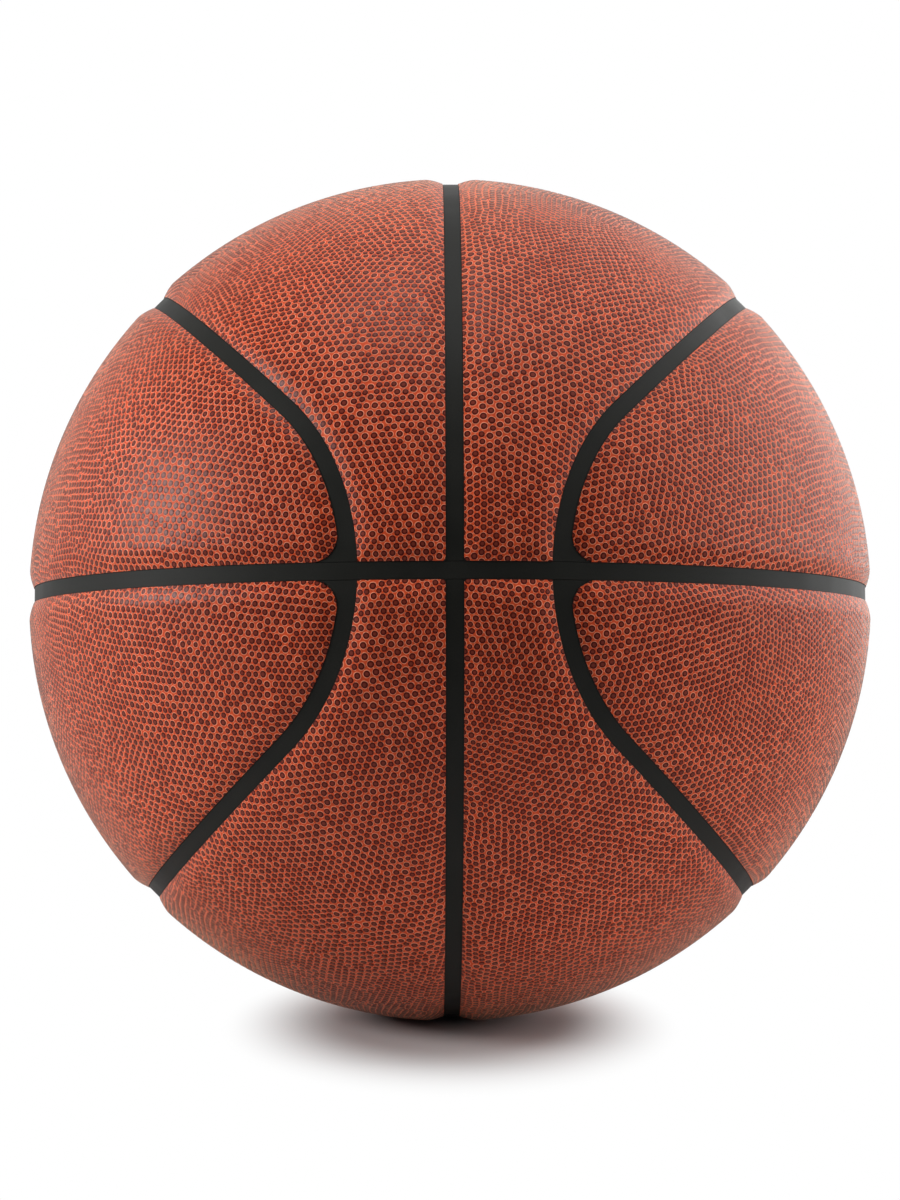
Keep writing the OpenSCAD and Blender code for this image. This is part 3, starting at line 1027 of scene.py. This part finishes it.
@dataclass
class Studio:
    """White floor, white room, soft lamps and the photograph's camera."""

    floor_z: float
    photo_h: int = 1200
    focal_px: float = 2026.5
    sensor: float = 36.0           # height, in the camera's own millimetres
    clip_near: float = 10 * MM
    camera_distance: float = 0.590
    camera_azimuth: float = math.radians(-0.57)
    camera_elevation: float = math.radians(-3.38)
    camera_roll: float = math.radians(-0.1)
    floor_size: float = 8.0
    shadow_near: float = 0.03      # from here outwards the lit paper goes over to plain white
    shadow_far: float = 0.065
    shadow_stretch: float = 0.5    # the shadow's width as a share of its depth towards the camera
    paper_white: float = 0.61
    paper_seen: float = 0.62       # the paper's level in the shadow, as the camera sees it
    front_near: float = -0.1       # from here towards the camera the paper throws less light back
    front_far: float = -0.45
    front_bounce: float = 0.08
    mirror_from: float = 0.2       # from here backwards reflections show the white background
    mirror_to: float = 0.7
    dim_from: float = -0.85        # from here backwards the room's light rises to its full level
    dim_to: float = 0.05
    dim_level: float = 0.11
    room_level: float = 1.76
    room_lean: tuple[float, float, float] = (0.87, 0.0, -0.6)    # brighter at right, dimmer overhead
    overhead: Lamp = Lamp("overhead_softbox", (-0.12, -0.28, 0.95), (0.6, 0.35), 3.7)
    left: Lamp = Lamp("left_softbox", (-0.93, -0.2, 0.3), (0.44, 0.32), 7.6)

    def build(self) -> None:
        """Sets up the world, the floor, the lamps and the camera."""
        bpy.context.scene.view_settings.view_transform = "Standard"
        self.add_world()
        self.add_floor()
        self.overhead.build()
        self.left.build()
        self.add_camera()

    def add_world(self) -> None:
        """Makes a white room round the ball, dim on the camera's side and brightest at right."""
        world = bpy.data.worlds.new("white_studio")
        bpy.context.scene.world = world
        world.use_nodes = True
        tree = world.node_tree
        tree.nodes.clear()
        towards = add_node(tree, "ShaderNodeTexCoord").outputs["Generated"]
        parts = add_node(tree, "ShaderNodeSeparateXYZ", inputs={"Vector": towards})
        behind = add_node(tree, "ShaderNodeMapRange", SMOOTH, {
            "Value": parts.outputs["Y"], "From Min": self.dim_from, "From Max": self.dim_to,
            "To Min": self.dim_level, "To Max": self.room_level})
        lean = add_node(tree, "ShaderNodeVectorMath", {"operation": "DOT_PRODUCT"},
                        {0: towards, 1: self.room_lean})
        room = add_node(tree, "ShaderNodeMath", {"operation": "MULTIPLY_ADD"}, {
            0: behind.outputs["Result"], 1: lean.outputs["Value"], 2: behind.outputs["Result"]})
        seen, mirrored = self.ray_switches(tree, parts.outputs["Y"])
        lit = add_node(tree, "ShaderNodeMath", {"operation": "MAXIMUM"},
                       {0: room.outputs[0], 1: mirrored})
        level = add_node(tree, "ShaderNodeMix", {"data_type": "FLOAT"}, {
            "Factor": seen, 2: lit.outputs[0], 3: 1.0})
        back = add_node(tree, "ShaderNodeBackground", inputs={
            "Color": linear(WHITE), "Strength": level.outputs[0]})
        output = add_node(tree, "ShaderNodeOutputWorld")
        tree.links.new(back.outputs["Background"], output.inputs["Surface"])

    def add_floor(self) -> None:
        """Adds the white floor that the ball rests on, with its shadow kept near the ball."""
        plane = bmesh.new()
        bmesh.ops.create_grid(plane, x_segments=1, y_segments=1, size=self.floor_size / 2)
        mesh = bpy.data.meshes.new("studio_floor")
        plane.to_mesh(mesh)
        plane.free()
        floor = bpy.data.objects.new("studio_floor", mesh)
        floor.location.z = self.floor_z
        bpy.context.scene.collection.objects.link(floor)
        floor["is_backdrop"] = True
        material, tree, output = new_material("white_paper_floor")
        place = add_node(tree, "ShaderNodeTexCoord").outputs["Object"]
        squeezed = add_node(tree, "ShaderNodeVectorMath", {"operation": "MULTIPLY"},
                            {0: place, 1: (1, self.shadow_stretch, 1)})
        off = add_node(tree, "ShaderNodeVectorMath", {"operation": "LENGTH"}, {0: squeezed.outputs[0]})
        far = add_node(tree, "ShaderNodeMapRange", SMOOTH, {
            "Value": off.outputs["Value"], "From Min": self.shadow_near, "From Max": self.shadow_far})
        parts = add_node(tree, "ShaderNodeSeparateXYZ", inputs={"Vector": place})
        seen, mirrored = self.ray_switches(tree, parts.outputs["Y"])
        shown = add_node(tree, "ShaderNodeMath", {"operation": "MAXIMUM"}, {0: seen, 1: mirrored})
        share = add_node(tree, "ShaderNodeMath", {"operation": "MULTIPLY"},
                         {0: far.outputs["Result"], 1: shown.outputs[0]})
        bounce = add_node(tree, "ShaderNodeMapRange", SMOOTH, {
            "Value": parts.outputs["Y"], "From Min": self.front_far, "From Max": self.front_near,
            "To Min": self.front_bounce, "To Max": self.paper_white})
        white = add_node(tree, "ShaderNodeMix", {"data_type": "FLOAT"}, {
            "Factor": seen, 2: bounce.outputs["Result"], 3: self.paper_seen})
        paper = add_node(tree, "ShaderNodeBsdfDiffuse", inputs={"Color": white.outputs[0]})
        glow = add_node(tree, "ShaderNodeEmission", inputs={"Color": linear(WHITE), "Strength": 1.0})
        mixed = add_node(tree, "ShaderNodeMixShader", inputs={
            0: share.outputs[0], 1: paper.outputs[0], 2: glow.outputs[0]})
        tree.links.new(mixed.outputs[0], output.inputs["Surface"])
        mesh.materials.append(material)

    def ray_switches(self, tree: bpy.types.NodeTree,
                     behind: bpy.types.NodeSocket) -> tuple[bpy.types.NodeSocket, bpy.types.NodeSocket]:
        """Tells rays that show the plain white background from rays that light the ball.

        Args:
            tree: the node tree to add to.
            behind: how far behind the ball a ray lands, as a length or a share of its direction.

        Returns:
            A socket with 1 for camera and transmission rays, and one for glossy rays that rises
            to 1 behind the ball, where reflections show the background too.
        """
        path = add_node(tree, "ShaderNodeLightPath")
        seen = add_node(tree, "ShaderNodeMath", {"operation": "MAXIMUM"},
                        {0: path.outputs["Is Camera Ray"], 1: path.outputs["Is Transmission Ray"]})
        back = add_node(tree, "ShaderNodeMapRange", SMOOTH, {
            "Value": behind, "From Min": self.mirror_from, "From Max": self.mirror_to})
        mirrored = add_node(tree, "ShaderNodeMath", {"operation": "MULTIPLY"},
                            {0: path.outputs["Is Glossy Ray"], 1: back.outputs["Result"]})
        return seen.outputs[0], mirrored.outputs[0]

    def add_camera(self) -> None:
        """Places the camera where the photograph was taken from."""
        camera = bpy.data.cameras.new("photo_camera")
        camera.sensor_fit = "VERTICAL"
        camera.sensor_height = self.sensor
        camera.lens = self.focal_px / self.photo_h * self.sensor
        camera.clip_start = self.clip_near
        holder = bpy.data.objects.new("photo_camera", camera)
        bpy.context.scene.collection.objects.link(holder)
        round_by, up = self.camera_azimuth, self.camera_elevation
        flat = math.cos(up)
        towards = Vector((math.sin(round_by) * flat, -math.cos(round_by) * flat, math.sin(up)))
        aim = towards.to_track_quat("Z", "Y") @ Quaternion((0, 0, 1), self.camera_roll)
        holder.location = towards * self.camera_distance
        holder.rotation_euler = aim.to_euler()
        bpy.context.scene.camera = holder


def corners(box: Sequence[Sequence[float]]) -> list[list[float]]:
    """Turns a box's lowest and highest corners to plain lists of numbers."""
    return [[float(value) for value in corner] for corner in box]


def main() -> None:
    """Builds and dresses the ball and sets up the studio."""
    logging.basicConfig(level=logging.INFO, format="%(name)s: %(message)s")
    cad_box = corners(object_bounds())
    sizes = BallSizes()
    Covers(sizes).build()
    InnerLayers(frame["nodes"]).dress()
    Studio(floor_z=cad_box[0][2]).build()


if __name__ == "__main__":
    main()
